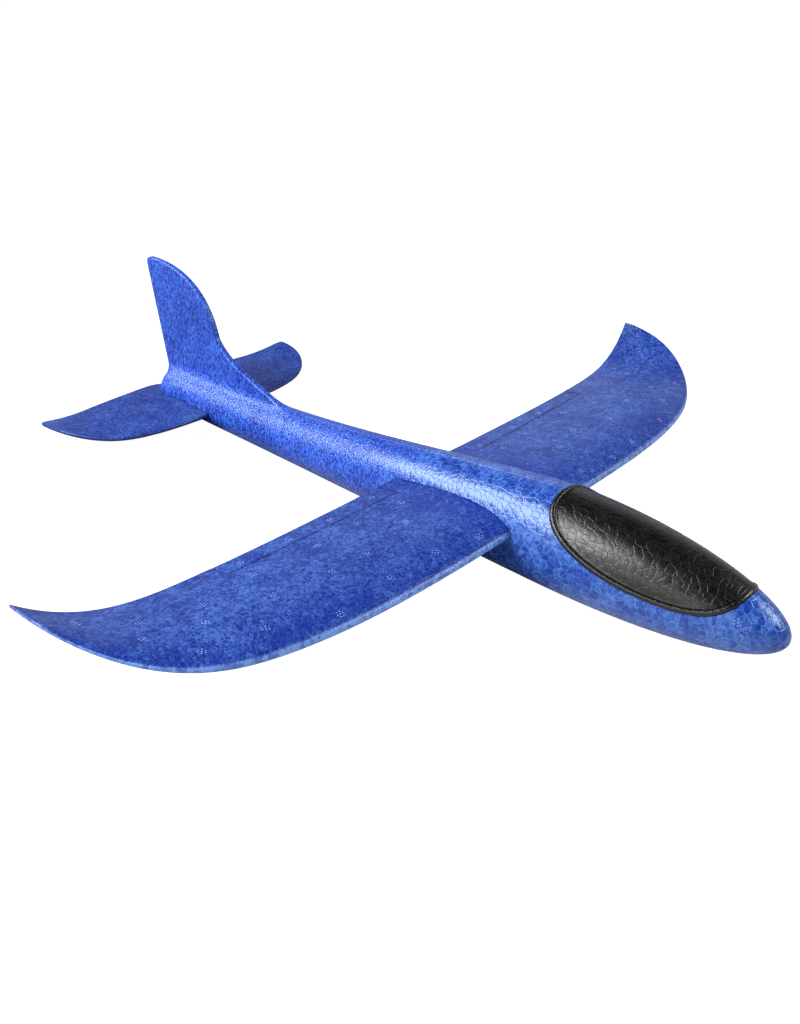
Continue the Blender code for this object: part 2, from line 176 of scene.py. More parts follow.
# Steam-vent pins
PIN_RADIUS = 0.00034
PIN_HEIGHT = 0.00016
PIN_RING = 0.00155
PIN_SIDES = 8
PIN_SLOPE_STEP = 0.0004
VENT_SEED = 7
VENT_ROWS = (0.13, 0.42, 0.68)
VENT_ROW_SPREAD = 0.07
FLAP_VENT_ROWS = (0.90,)
FLAP_VENT_ROW_SPREAD = 0.015
VENTS_IN_ROW = 7
VENT_FIRST_X = 0.046
VENT_PITCH = 0.0310
VENT_X_SPREAD = 0.006
VENT_LAST_X = 0.228
NOSE_VENT_Y = -0.2215
NOSE_VENT_ANGLE = 1.10

# Slug
SLUG_CHAMFER = 0.0008
SLUG_CENTRE_SHARE = 0.35
SLUG_FEED_MARK = 0.00005
SLUG_TURNS = 26
SLUG_SIDES = 48

CUTTER_HALF_WIDTH = 0.045


# Mesh helpers

def bezier(points, count):
    """Points along one cubic Bezier curve, ends included."""
    a, b, c, d = (Vector(point) for point in points)
    curve = []
    for step in range(count + 1):
        t = step / count
        s = 1 - t
        curve.append(a * s ** 3 + b * (3 * s * s * t) + c * (3 * s * t * t) + d * t ** 3)
    return curve


def offset_outline(outline, distance):
    """Moves a closed counter-clockwise outline outwards by a distance."""
    moved = []
    count = len(outline)
    for index, point in enumerate(outline):
        before = (point - outline[index - 1]).normalized()
        after = (outline[(index + 1) % count] - point).normalized()
        normal_before = Vector((before.y, -before.x))
        normal_after = Vector((after.y, -after.x))
        middle = (normal_before + normal_after).normalized()
        moved.append(point + middle * (distance / max(middle.dot(normal_after), 0.5)))
    return moved


def make_object(name, mesh_data):
    bmesh.ops.recalc_face_normals(mesh_data, faces=mesh_data.faces)
    mesh = bpy.data.meshes.new(name)
    mesh_data.to_mesh(mesh)
    mesh_data.free()
    thing = bpy.data.objects.new(name, mesh)
    bpy.context.scene.collection.objects.link(thing)
    return thing


def loft(name, rings):
    """A closed skin over rings of equal length, with a flat cap on each end."""
    mesh_data = bmesh.new()
    rows = [[mesh_data.verts.new(point) for point in ring] for ring in rings]
    count = len(rows[0])
    for row, following in zip(rows, rows[1:]):
        for index in range(count):
            ahead = (index + 1) % count
            mesh_data.faces.new((row[index], row[ahead], following[ahead], following[index]))
    mesh_data.faces.new(rows[0])
    mesh_data.faces.new(rows[-1])
    return make_object(name, mesh_data)


def prism(name, outline, x_start, x_end):
    return loft(name, [[(x, point.x, point.y) for point in outline] for x in (x_start, x_end)])


def box(name, low, high):
    corners = [Vector((low[1], low[2])), Vector((high[1], low[2]))]
    corners += [Vector((high[1], high[2])), Vector((low[1], high[2]))]
    return prism(name, corners, low[0], high[0])


def apply_modifiers(target):
    graph = bpy.context.evaluated_depsgraph_get()
    result = bpy.data.meshes.new_from_object(target.evaluated_get(graph))
    target.modifiers.clear()
    target.data = result


def combine(target, tool, operation):
    modifier = target.modifiers.new(operation, "BOOLEAN")
    modifier.operation = operation
    modifier.solver = "EXACT"
    modifier.object = tool
    apply_modifiers(target)
    bpy.data.objects.remove(tool)


def bevel(target, width, segments, degrees):
    modifier = target.modifiers.new("bevel", "BEVEL")
    modifier.width = width
    modifier.segments = segments
    modifier.limit_method = "ANGLE"
    modifier.angle_limit = math.radians(degrees)
    apply_modifiers(target)


def shade(thing, degrees=35):
    thing.data.shade_smooth()
    thing.data.set_sharp_from_angle(angle=math.radians(degrees))


def finish_piece(piece, body, node, material):
    """Gives a detailed piece its material and puts it in its CAD node's place."""
    piece.data.materials.clear()
    piece.data.materials.append(material)
    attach(piece, body)
    if node:
        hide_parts(node)


# Fuselage

def body_radius(y):
    if y < SHOULDER_Y:
        ahead = (SHOULDER_Y - y) / (SHOULDER_Y - NOSE_Y)
        return max(SHOULDER_RADIUS * math.sqrt(max(1 - ahead ** NOSE_POWER, 0)), TIP_FLAT)
    aft = min((y - SHOULDER_Y) / (TAIL_END_Y - SHOULDER_Y), 1)
    taper = (1 - aft ** BOOM_TAPER_ONSET) ** BOOM_TAPER_POWER
    radius = TAIL_RADIUS + (SHOULDER_RADIUS - TAIL_RADIUS) * taper
    if y > DOME_START_Y:
        dome = min((y - DOME_START_Y) / (TAIL_END_Y - DOME_START_Y), 1)
        radius = max(radius * (1 - dome ** DOME_POWER) ** (1 / DOME_POWER), TIP_FLAT)
    return radius


def body_centre(y):
    if y < SHOULDER_Y:
        ahead = (SHOULDER_Y - y) / (SHOULDER_Y - NOSE_Y)
        return SHOULDER_RADIUS - BELLY_FLAT_DEPTH - NOSE_DROOP * ahead ** 2
    barrel = min(y, DOME_START_Y)
    aft = (barrel - SHOULDER_Y) / (TAIL_END_Y - SHOULDER_Y)
    return body_radius(barrel) - BELLY_FLAT_DEPTH + TAIL_RISE * aft ** 2


def body_point(y, angle, lift=0.0):
    """A point on the body's skin; the angle is 0 on the crest and grows towards +X."""
    reach = body_radius(y) + lift
    return Vector((reach * math.sin(angle), y, body_centre(y) + reach * math.cos(angle)))


def body_stations():
    nose_rings, middle_rings, dome_rings = 70, 150, 24
    nose = [SHOULDER_Y + (NOSE_Y - SHOULDER_Y) * (1 - (i / nose_rings) ** 2) for i in range(nose_rings)]
    middle = [SHOULDER_Y + (DOME_START_Y - SHOULDER_Y) * i / middle_rings for i in range(middle_rings)]
    reach = TAIL_END_Y - DOME_START_Y
    dome = [DOME_START_Y + reach * math.sin(math.pi / 2 * i / dome_rings) for i in range(dome_rings + 1)]
    return nose + middle + dome


def fin_outline():
    outline = bezier(FIN_ROOT_SWEEP, 24)[:-1] + bezier(FIN_TIP_SWEEP, 36) + bezier(FIN_TIP_CORNER, 10)[1:]
    outline.append(Vector(FIN_TRAILING_FOOT))
    outline.append(Vector((FIN_TRAILING_FOOT[0] - 0.006, FIN_BASE_Z)))
    outline.append(Vector((FIN_ROOT_SWEEP[0][0] + 0.008, FIN_BASE_Z)))
    return outline


def distance_to_line(flat, line):
    """Distance from each 2-D point to a line of joined segments."""
    nearest = np.full(len(flat), np.inf)
    for start, end in zip(line, line[1:]):
        along = end - start
        share = np.clip(((flat - start) @ along) / (along @ along), 0, 1)
        nearest = np.minimum(nearest, np.linalg.norm(flat - start - share[:, None] * along, axis=1))
    return nearest


def fin_distance(points):
    """Signed distance to the fin, a rounded plate, for an array of points."""
    outline = np.array([tuple(point) for point in fin_outline()])
    outline = np.vstack([outline, outline[:1]])
    flat = points[:, 1:3]
    inside = np.zeros(len(points), bool)
    for start, end in zip(outline, outline[1:]):
        if end[1] != start[1]:
            crosses = (start[1] > flat[:, 1]) != (end[1] > flat[:, 1])
            at = start[0] + (flat[:, 1] - start[1]) * (end[0] - start[0]) / (end[1] - start[1])
            inside ^= crosses & (flat[:, 0] < at)
    nearest = distance_to_line(flat, outline)
    plan = np.where(inside, -nearest, nearest) + FIN_ROUNDING
    side = np.abs(points[:, 0]) - FIN_THICKNESS / 2 + FIN_ROUNDING
    outside = np.hypot(np.maximum(plan, 0), np.maximum(side, 0))
    return outside + np.minimum(np.maximum(plan, side), 0) - FIN_ROUNDING


def body_distance(points):
    """Signed distance to the boom and its dome, for an array of points."""
    stations = np.array([y for y in body_stations() if y > FIN_ROOT_SWEEP[0][0] - 0.03])
    radii = np.array([body_radius(y) for y in stations])
    centres = np.array([body_centre(y) for y in stations])
    profile = np.vstack([np.stack([stations, radii], 1), [[TAIL_END_Y, 0]]])
    centre = np.interp(points[:, 1], stations, centres)
    flat = np.stack([points[:, 1], np.hypot(points[:, 0], points[:, 2] - centre)], 1)
    inside = (flat[:, 1] < np.interp(flat[:, 0], stations, radii)) & (flat[:, 0] < TAIL_END_Y)
    nearest = distance_to_line(flat, profile)
    return np.where(inside, -nearest, nearest)


def blended_distance(points):
    """Body and fin joined with a hollow fillet."""
    body = body_distance(points)
    fin = fin_distance(points)
    overlap = np.maximum(FIN_FILLET - np.abs(body - fin), 0) / FIN_FILLET
    return np.minimum(body, fin) - overlap ** 2 * FIN_FILLET / 4


def settle_on_fillet(thing):
    """Moves the vertices around the fin onto the filleted surface."""
    mesh = thing.data
    points = np.zeros(len(mesh.vertices) * 3)
    mesh.vertices.foreach_get("co", points)
    points = points.reshape(-1, 3)
    near = points[:, 1] > FILLET_START_Y
    moving = points[near]
    step = 0.00005
    for _ in range(FILLET_PASSES):
        value = blended_distance(moving)
        slope = np.stack([blended_distance(moving + step * axis) - value for axis in np.eye(3)], 1) / step
        strength = np.maximum((slope ** 2).sum(1), 0.25)
        shift = -(value / strength)[:, None] * slope
        length = np.linalg.norm(shift, axis=1)
        shift *= np.minimum(1, FILLET_LONGEST_STEP / np.maximum(length, 1e-9))[:, None]
        moving = moving + shift
    points[near] = moving
    mesh.vertices.foreach_set("co", points.ravel())
    mesh.update()


def hold_in_box(thing):
    """Flattens the belly and keeps the fin's corner inside the CAD fuselage's box."""
    for vertex in thing.data.vertices:
        vertex.co.z = min(max(vertex.co.z, BODY_LOW.z), BODY_HIGH.z)
        vertex.co.y = min(vertex.co.y, BODY_HIGH.y)


def slug_pocket():
    """A round-bottomed pocket for the slug, open upwards into the canopy's seat."""
    middle = (SLUG_LOW + SLUG_HIGH) / 2
    radius = (SLUG_HIGH.x - SLUG_LOW.x) / 2 + GAP
    outline = []
    for index in range(33):
        angle = math.pi * (1 + index / 32)
        outline.append((radius * math.cos(angle), middle.z + radius * math.sin(angle)))
    outline += [(radius, CANOPY_TOP_Z), (-radius, CANOPY_TOP_Z)]
    ends = (SLUG_LOW.y - GAP, SLUG_HIGH.y + GAP)
    return loft("pocket", [[(x, y, z) for x, z in outline] for y in ends])


def make_fuselage(material):
    rings = [[body_point(y, 2 * math.pi * i / BODY_SEGMENTS) for i in range(BODY_SEGMENTS)]
             for y in body_stations()]
    fuselage = loft("fuselage_skin", rings)
    combine(fuselage, prism("fin", fin_outline(), -FIN_THICKNESS / 2, FIN_THICKNESS / 2), "UNION")
    remesh = fuselage.modifiers.new("remesh", "REMESH")
    remesh.mode = "VOXEL"
    remesh.voxel_size = FUSELAGE_VOXEL
    apply_modifiers(fuselage)
    settle_on_fillet(fuselage)
    hold_in_box(fuselage)

    wing_slot = offset_outline(wing_outline(0), GAP)
    combine(fuselage, prism("wing_slot", wing_slot, -CUTTER_HALF_WIDTH, CUTTER_HALF_WIDTH), "DIFFERENCE")
    slot_height = STAB_THICKNESS / 2 + GAP
    slot_low = (-STAB_SLOT_HALF_WIDTH, STAB_LEADING_Y - GAP, STAB_Z - slot_height)
    slot_high = (STAB_SLOT_HALF_WIDTH, STAB_REAR_Y + 0.01, STAB_Z + slot_height)
    combine(fuselage, box("stab_slot", slot_low, slot_high), "DIFFERENCE")
    seat = prism("seat", canopy_side_outline(), -CUTTER_HALF_WIDTH, CUTTER_HALF_WIDTH)
    combine(fuselage, seat, "DIFFERENCE")
    combine(fuselage, slug_pocket(), "DIFFERENCE")
    shade(fuselage)
    finish_piece(fuselage, "airframe", "fuselage", material)


def make_parting_line(material):
    """The mould's parting ridge along the crest, from behind the canopy to the fin."""
    rings = []
    for index in range(PARTING_STATIONS + 1):
        y = PARTING_START_Y + (PARTING_END_Y - PARTING_START_Y) * index / PARTING_STATIONS
        fade = min(1, (y - PARTING_START_Y) / 0.012, (PARTING_END_Y - y) / 0.020)
        half = PARTING_HALF_WIDTH * (0.25 + 0.75 * fade)
        ring = []
        for step in range(9):
            angle = math.pi * step / 8
            lift = PARTING_HEIGHT * fade * math.sin(angle) - PARTING_SUNK
            ring.append(body_point(y, half * math.cos(angle) / body_radius(y), lift))
        rings.append(ring)
    ridge = loft("parting_line", rings)
    shade(ridge, 60)
    finish_piece(ridge, "airframe", None, material)


# Canopy

def canopy_side_outline():
    """Everything above the canopy's edge in side view, counter-clockwise."""
    edge = bezier(CANOPY_REAR_EDGE, 60)[:-1] + bezier(CANOPY_FRONT_EDGE, 60)
    edge.reverse()
    return edge + [Vector((edge[-1].x, CANOPY_TOP_Z)), Vector((edge[0].x, CANOPY_TOP_Z))]


def canopy_rim():
    """The rim on the +X side as (y, angle) on the body, from the rear crest to the front crest."""
    dense = bezier(CANOPY_REAR_EDGE, 400)[:-1] + bezier(CANOPY_FRONT_EDGE, 400)
    dense.reverse()
    closed = dense + [Vector((dense[-1].x, CANOPY_TOP_Z)), Vector((dense[0].x, CANOPY_TOP_Z))]
    inner = offset_outline(closed, -GAP)[1:len(dense) - 1]
    inner.reverse()
    rim = []
    for point in inner:
        rise = (point.y - body_centre(point.x)) / body_radius(point.x)
        if rise < 1:
            rim.append((point.x, math.acos(rise)))
    rim = [(rim[0][0], 0.0)] + rim[1:-1] + [(rim[-1][0], 0.0)]
    places = [body_point(y, angle) for y, angle in rim]
    lengths = np.cumsum([0] + [(b - a).length for a, b in zip(places, places[1:])])
    even = np.linspace(0, lengths[-1], RIM_STEPS + 1)
    ys = np.interp(even, lengths, [y for y, _ in rim])
    angles = np.interp(even, lengths, [angle for _, angle in rim])
    return list(zip(ys, angles))


def rim_profile():
    """Distances in from the rim with the height of the skin there: bead, groove and lip."""
    profile = []
    for index in range(15):
        across = 1 - math.cos(math.pi * index / 14)
        profile.append((RIM_WIDTH / 2 * across, RIM_PROUD * math.sqrt(max(1 - (across - 1) ** 2, 0))))
    groove_end = RIM_WIDTH + GROOVE_WIDTH
    profile.append((RIM_WIDTH + GROOVE_WIDTH * 0.35, -GROOVE_DEPTH))
    profile.append((RIM_WIDTH + GROOVE_WIDTH * 0.65, -GROOVE_DEPTH))
    profile.append((groove_end, LIP_PROUD * 0.6))
    profile.append((groove_end + 0.00015, LIP_PROUD))
    profile.append((groove_end + 0.00040, LIP_PROUD * 0.8))
    profile.append((groove_end + 0.00090, 0))
    profile.append((groove_end + 0.00180, 0))
    return profile


def inward_directions(places):
    """Unit directions along the skin, square to the rim and towards the canopy's middle."""
    directions = []
    last = len(places) - 1
    for index, place in enumerate(places):
        if index in (0, last):
            tangent = Vector((1 if index == 0 else -1, 0, 0))
        else:
            tangent = (places[index + 1] - places[index - 1]).normalized()
        rise = place.z - body_centre(place.y)
        angle = math.atan2(place.x, rise)
        ahead = body_point(place.y + 0.0005, angle)
        behind = body_point(place.y - 0.0005, angle)
        around = Vector((rise, 0, -place.x)).normalized()
        normal = around.cross((ahead - behind).normalized())
        if normal.dot(Vector((place.x, 0, rise))) < 0:
            normal.negate()
        directions.append(normal.cross(tangent).normalized())
    return directions


def canopy_half_rows():
    """Rows of points on the +X half of the canopy, from the rim in to the crest."""
    rim = canopy_rim()
    places = [body_point(y, angle) for y, angle in rim]
    directions = inward_directions(places)
    middle = Vector((0, (places[0].y + places[-1].y) / 2, places[0].z))
    if directions[RIM_STEPS // 2].dot(middle - places[RIM_STEPS // 2]) < 0:
        directions = [-direction for direction in directions]
    rows = []
    for distance, lift in rim_profile():
        row = []
        last_row = []
        for place, direction in zip(places, directions):
            moved = place + direction * distance
            angle = max(math.atan2(moved.x, moved.z - body_centre(moved.y)), 0.0)
            row.append(body_point(moved.y, angle, lift))
            last_row.append((moved.y, angle))
        row[0].x = 0
        row[-1].x = 0
        rows.append(row)
    rear_y = places[0].y - CREST_INSET
    front_y = places[-1].y + CREST_INSET
    for step in range(1, CREST_ROWS + 1):
        share = step / CREST_ROWS
        row = []
        for y, angle in last_row:
            crest_y = min(max(y, front_y), rear_y)
            row.append(body_point(y + (crest_y - y) * share, angle * (1 - share)))
        rows.append(row)
    return rows


def make_canopy(material):
    rows = canopy_half_rows()
    mesh_data = bmesh.new()
    for side in (1, -1):
        grid = [[mesh_data.verts.new((side * p.x, p.y, p.z)) for p in row] for row in rows]
        for row, following in zip(grid, grid[1:]):
            for a, b, c, d in zip(row, row[1:], following[1:], following):
                mesh_data.faces.new((a, b, c, d))
    under = []
    for point in rows[0]:
        shares = [1 - 2 * step / UNDERSIDE_STEPS for step in range(UNDERSIDE_STEPS + 1)]
        under.append([mesh_data.verts.new((point.x * share, point.y, point.z)) for share in shares])
    for row, following in zip(under, under[1:]):
        for a, b, c, d in zip(row, row[1:], following[1:], following):
            mesh_data.faces.new((a, b, c, d))
    bmesh.ops.remove_doubles(mesh_data, verts=mesh_data.verts, dist=0.000004)
    bmesh.ops.dissolve_degenerate(mesh_data, dist=0.000001, edges=mesh_data.edges)
    canopy = make_object("canopy_skin", mesh_data)
    shade(canopy, 50)
    finish_piece(canopy, "canopy", "canopy", material)


# Wing

def wing_edges(x):
    share = min(abs(x) / HALF_SPAN, 1)
    fullness = (1 - share ** WING_LEADING_POWER) ** (1 / WING_LEADING_ROUND)
    leading = WING_TIP_Y - WING_LEADING_REACH * fullness
    trailing = WING_TIP_Y - WING_TRAILING_REACH * (1 - share ** WING_TRAILING_POWER)
    return leading, trailing


def wing_lift(x):
    share = abs(x) / HALF_SPAN
    past = max(abs(x) - WING_CURL_START_X, 0) / (HALF_SPAN - WING_CURL_START_X)
    return WING_DIHEDRAL_RISE * share ** 2 + WING_CURL_HEIGHT * past ** WING_CURL_POWER


def wing_fullness(x):
    past = max(abs(x) - FLAP_OUTER_X, 0) / (HALF_SPAN - FLAP_OUTER_X)
    return 1 - (1 - WING_CROWN_TIP_SHARE) * past ** WING_THINNING_POWER


def wing_edge_height(x):
    return WING_EDGE_TIP + (WING_EDGE_ROOT - WING_EDGE_TIP) * wing_fullness(x)


def cad_upper_height(x, share):
    nose = wing_edge_height(x) * (1 - share) ** WING_NOSE_FADE
    crown = WING_CROWN * wing_fullness(x) * share ** WING_CROWN_RISE * (1 - share) ** WING_CROWN_FALL
    return nose + crown + WING_TRAILING_THICKNESS * min(share * 6, 1) ** 0.5 * (0.3 + 0.7 * share)


def upper_height(x, share):
    """The CAD's upper surface, with its nose rolled over in one soft curve just inside it."""
    if share >= WING_NOSE_ROLL:
        return cad_upper_height(x, share)
    end = cad_upper_height(x, WING_NOSE_ROLL)
    beyond = cad_upper_height(x, WING_NOSE_ROLL * 1.01)
    corner = end - (beyond - end) * 100
    t = math.sqrt(share / WING_NOSE_ROLL)
    return wing_edge_height(x) * (1 - t) ** 2 + corner * 2 * t * (1 - t) + end * t * t


def lower_height(x, share):
    run = min(share / WING_EDGE_LENGTH, 1)
    return wing_edge_height(x) * (1 - math.sqrt(run * (2 - run)))


def wing_outline(x):
    leading, trailing = wing_edges(x)
    outline = []
    for index in range(WING_LOWER_POINTS):
        share = WING_EDGE_LENGTH * (index / (WING_LOWER_POINTS - 1)) ** 2
        outline.append((share, lower_height(x, share)))
    outline.append((0.5, 0))
    outline.append((1, 0))
    for index in range(WING_UPPER_POINTS):
        share = 1 - math.sin(math.pi / 2 * index / WING_UPPER_POINTS)
        outline.append((share, upper_height(x, share)))
    base = WING_BOTTOM_Z + wing_lift(x)
    return [Vector((leading + share * (trailing - leading), base + height)) for share, height in outline]


def wing_top(x, share):
    leading, trailing = wing_edges(x)
    height = WING_BOTTOM_Z + wing_lift(x) + upper_height(x, share)
    return Vector((x, leading + share * (trailing - leading), height))


def hinge_end(x, y):
    leading, trailing = wing_edges(x)
    radius = upper_height(x, (y - leading) / (trailing - leading)) / 2
    return Vector((y, WING_BOTTOM_Z + wing_lift(x) + radius)), radius


def hinge_at(x):
    inner, inner_radius = hinge_end(FLAP_INNER_X, HINGE_INNER_Y)
    outer, outer_radius = hinge_end(FLAP_OUTER_X, HINGE_OUTER_Y)
    share = (abs(x) - FLAP_INNER_X) / (FLAP_OUTER_X - FLAP_INNER_X)
    return inner.lerp(outer, share), inner_radius + (outer_radius - inner_radius) * share


def half_circle(centre, radius):
    points = []
    for index in range(HINGE_SEGMENTS + 1):
        angle = math.pi * (0.5 + index / HINGE_SEGMENTS)
        points.append(centre + Vector((math.cos(angle), math.sin(angle))) * radius)
    return points


def flap_recess(side):
    rings = []
    for x in (FLAP_INNER_X, FLAP_OUTER_X):
        centre, radius = hinge_at(x)
        outline = half_circle(centre, radius + COVE_GAP)
        corners = ((0, -RECESS_REACH), (2 * RECESS_REACH, -RECESS_REACH),
                   (2 * RECESS_REACH, RECESS_REACH), (0, RECESS_REACH))
        outline += [centre + Vector(corner) for corner in corners]
        rings.append([(side * x, point.x, point.y) for point in outline])
    return loft("recess", rings)


def make_wing(material):
    half = [HALF_SPAN * math.sin(math.pi / 2 * i / WING_STATIONS) for i in range(WING_STATIONS)]
    half.append(HALF_SPAN * 0.9999)
    stations = [-x for x in reversed(half[1:])] + half
    wing = loft("wing_skin", [[(x, p.x, p.y) for p in wing_outline(x)] for x in stations])
    combine(wing, flap_recess(-1), "DIFFERENCE")
    combine(wing, flap_recess(1), "DIFFERENCE")
    shade(wing)
    finish_piece(wing, "wing", "wing", material)


def flap_outline(x):
    leading, trailing = wing_edges(x)
    centre, radius = hinge_at(x)
    base = WING_BOTTOM_Z + wing_lift(x)
    outline = half_circle(centre, radius)
    outline.append(Vector((trailing, base)))
    for index in range(FLAP_TOP_STEPS):
        y = centre.x + (trailing - centre.x) * (1 - index / FLAP_TOP_STEPS)
        outline.append(Vector((y, base + upper_height(x, (y - leading) / (trailing - leading)))))
    return outline


def make_flap(node, side, material):
    inner = FLAP_INNER_X + COVE_GAP
    outer = FLAP_OUTER_X - COVE_GAP
    rings = []
    for index in range(FLAP_STATIONS):
        x = inner + (outer - inner) * index / (FLAP_STATIONS - 1)
        rings.append([(side * x, point.x, point.y) for point in flap_outline(x)])
    flap = loft(node + "_skin", rings)
    bevel(flap, FLAP_BEVEL, 2, 50)
    shade(flap)
    finish_piece(flap, node, node, material)


# Stabiliser

def stab_edges(x):
    share = min(abs(x) / STAB_HALF_SPAN, 1)
    fullness = (1 - share ** STAB_LEADING_POWER) ** (1 / STAB_LEADING_ROUND)
    leading = STAB_TIP_Y - (STAB_TIP_Y - STAB_LEADING_Y) * fullness
    notch = max(1 - abs(x) / STAB_NOTCH_HALF_WIDTH, 0)
    trailing = STAB_REAR_Y - STAB_TRAILING_SWEEP * share ** 2 - STAB_NOTCH_DEPTH * notch ** 2
    past = max(abs(x) - (STAB_HALF_SPAN - STAB_TIP_ROUND), 0) / STAB_TIP_ROUND
    round_depth = STAB_REAR_Y - STAB_TRAILING_SWEEP - STAB_TIP_Y
    trailing -= round_depth * (1 - math.sqrt(max(1 - past * past, 0)))
    return leading, trailing


def stab_curl(x):
    return max(abs(x) - STAB_CURL_START_X, 0) / (STAB_HALF_SPAN - STAB_CURL_START_X)


def stab_outline(x):
    leading, trailing = stab_edges(x)
    chord = trailing - leading
    nose = min(STAB_THICKNESS / 2, chord / 4)
    half = STAB_THICKNESS / 2 * (1 - STAB_TIP_THINNING * stab_curl(x) ** 2)
    back = STAB_TRAILING_THICKNESS / 2
    centre = STAB_Z + STAB_CURL_HEIGHT * stab_curl(x) ** 2
    outline = []
    for index in range(STAB_NOSE_STEPS + 1):
        angle = math.pi / 2 * (1 + 2 * index / STAB_NOSE_STEPS)
        outline.append(Vector((leading + nose + nose * math.cos(angle), centre + half * math.sin(angle))))
    outline.append(Vector((trailing - chord * STAB_TAPER_SHARE, centre - half)))
    outline.append(Vector((trailing, centre - back)))
    outline.append(Vector((trailing, centre + back)))
    outline.append(Vector((trailing - chord * STAB_TAPER_SHARE, centre + half)))
    return outline


def make_stabiliser(material):
    half = [STAB_HALF_SPAN * math.sin(math.pi / 2 * i / STAB_STATIONS) for i in range(STAB_STATIONS)]
    half.append(STAB_HALF_SPAN * 0.9998)
    stations = [-x for x in reversed(half[1:])] + half
    stabiliser = loft("stabiliser_skin", [[(x, p.x, p.y) for p in stab_outline(x)] for x in stations])
    shade(stabiliser)
    finish_piece(stabiliser, "stabiliser", "stabiliser", material)


# Steam-vent pins

def add_pin(mesh_data, place, normal):
    """One low round pin standing on the skin."""
    turn = normal.to_track_quat("Z", "Y").to_matrix().to_4x4()
    rings = []
    for radius, height in ((1.0, -0.4), (1.0, 0.2), (0.75, 0.75)):
        ring = []
        for index in range(PIN_SIDES):
            angle = 2 * math.pi * index / PIN_SIDES
            local = Vector((radius * PIN_RADIUS * math.cos(angle), radius * PIN_RADIUS * math.sin(angle),
                            height * PIN_HEIGHT))
            ring.append(mesh_data.verts.new(place + turn @ local))
        rings.append(ring)
    for ring, following in zip(rings, rings[1:]):
        for index in range(PIN_SIDES):
            ahead = (index + 1) % PIN_SIDES
            mesh_data.faces.new((ring[index], ring[ahead], following[ahead], following[index]))
    mesh_data.faces.new(rings[0])
    mesh_data.faces.new(rings[-1])


def add_vent(mesh_data, surface, u, v, u_metre, v_metre, turn):
    """A vent's ring of pins around one in the middle, laid on a surface given as surface(u, v)."""
    spots = [(0, 0)]
    for index in range(6):
        angle = turn + math.pi / 3 * index
        spots.append((PIN_RING * math.cos(angle), PIN_RING * math.sin(angle)))
    for along, across in spots:
        pin_u = u + along * u_metre
        pin_v = v + across * v_metre
        place = surface(pin_u, pin_v)
        step_u = surface(pin_u + PIN_SLOPE_STEP * u_metre, pin_v) - place
        step_v = surface(pin_u, pin_v + PIN_SLOPE_STEP * v_metre) - place
        normal = step_u.cross(step_v).normalized()
        if normal.z < 0:
            normal.negate()
        add_pin(mesh_data, place, normal)


def make_pins(name, body, vents, surface, material):
    mesh_data = bmesh.new()
    for u, v, u_metre, v_metre, turn in vents:
        add_vent(mesh_data, surface, u, v, u_metre, v_metre, turn)
    pins = make_object(name, mesh_data)
    shade(pins, 60)
    finish_piece(pins, body, None, material)


def wing_vents(side, rng, on_flap):
    """Staggered rows of vents over one half of the wing, or over its flap."""
    vents = []
    rows = FLAP_VENT_ROWS if on_flap else VENT_ROWS
    spread = FLAP_VENT_ROW_SPREAD if on_flap else VENT_ROW_SPREAD
    for number, share in enumerate(rows):
        for index in range(VENTS_IN_ROW):
            x = VENT_FIRST_X + VENT_PITCH * (index + 0.5 * (number % 2))
            x += rng.uniform(-VENT_X_SPREAD, VENT_X_SPREAD)
            leading, trailing = wing_edges(x)
            chord = trailing - leading
            in_flap = FLAP_INNER_X < x < FLAP_OUTER_X
            if x > VENT_LAST_X or (on_flap and not in_flap):
                continue
            spot = share + rng.uniform(-1, 1) * spread
            vents.append((side * x, spot, 1, 1 / chord, rng.uniform(0, 1)))
    return vents


def make_all_pins(material):
    rng = random.Random(VENT_SEED)
    for side, label in ((-1, "starboard"), (1, "port")):
        make_pins("wing_pins_" + label, "wing", wing_vents(side, rng, False), wing_top, material)
        make_pins("flap_pins_" + label, "flap_" + label, wing_vents(side, rng, True), wing_top, material)
    angle_per_metre = 1 / body_radius(NOSE_VENT_Y)
    body_vents = [(NOSE_VENT_Y, angle, 1, angle_per_metre, rng.uniform(0, 1))
                  for angle in (NOSE_VENT_ANGLE, -NOSE_VENT_ANGLE)]
    make_pins("body_pins", "airframe", body_vents, body_point, material)


# Slug

def make_slug(material):
    """The steel slug, turned with a chamfer at each end and fine feed marks."""
    middle = (SLUG_LOW + SLUG_HIGH) / 2
    radius = (SLUG_HIGH.x - SLUG_LOW.x) / 2
    centre = radius * SLUG_CENTRE_SHARE
    end = radius - SLUG_CHAMFER
    profile = [(SLUG_LOW.y, centre), (SLUG_LOW.y, end), (SLUG_LOW.y + SLUG_CHAMFER, radius)]
    length = SLUG_HIGH.y - SLUG_LOW.y - 2 * SLUG_CHAMFER
    for index in range(1, SLUG_TURNS):
        dip = SLUG_FEED_MARK if index % 2 else 0
        profile.append((SLUG_LOW.y + SLUG_CHAMFER + length * index / SLUG_TURNS, radius - dip))
    profile += [(SLUG_HIGH.y - SLUG_CHAMFER, radius), (SLUG_HIGH.y, end), (SLUG_HIGH.y, centre)]
    rings = []
    for y, reach in profile:
        ring = []
        for index in range(SLUG_SIDES):
            angle = 2 * math.pi * index / SLUG_SIDES
            ring.append((middle.x + reach * math.cos(angle), y, middle.z + reach * math.sin(angle)))
        rings.append(ring)
    slug = loft("nose_slug", rings)
    shade(slug, 30)
    finish_piece(slug, "airframe", "nose_weight", material)


# Materials

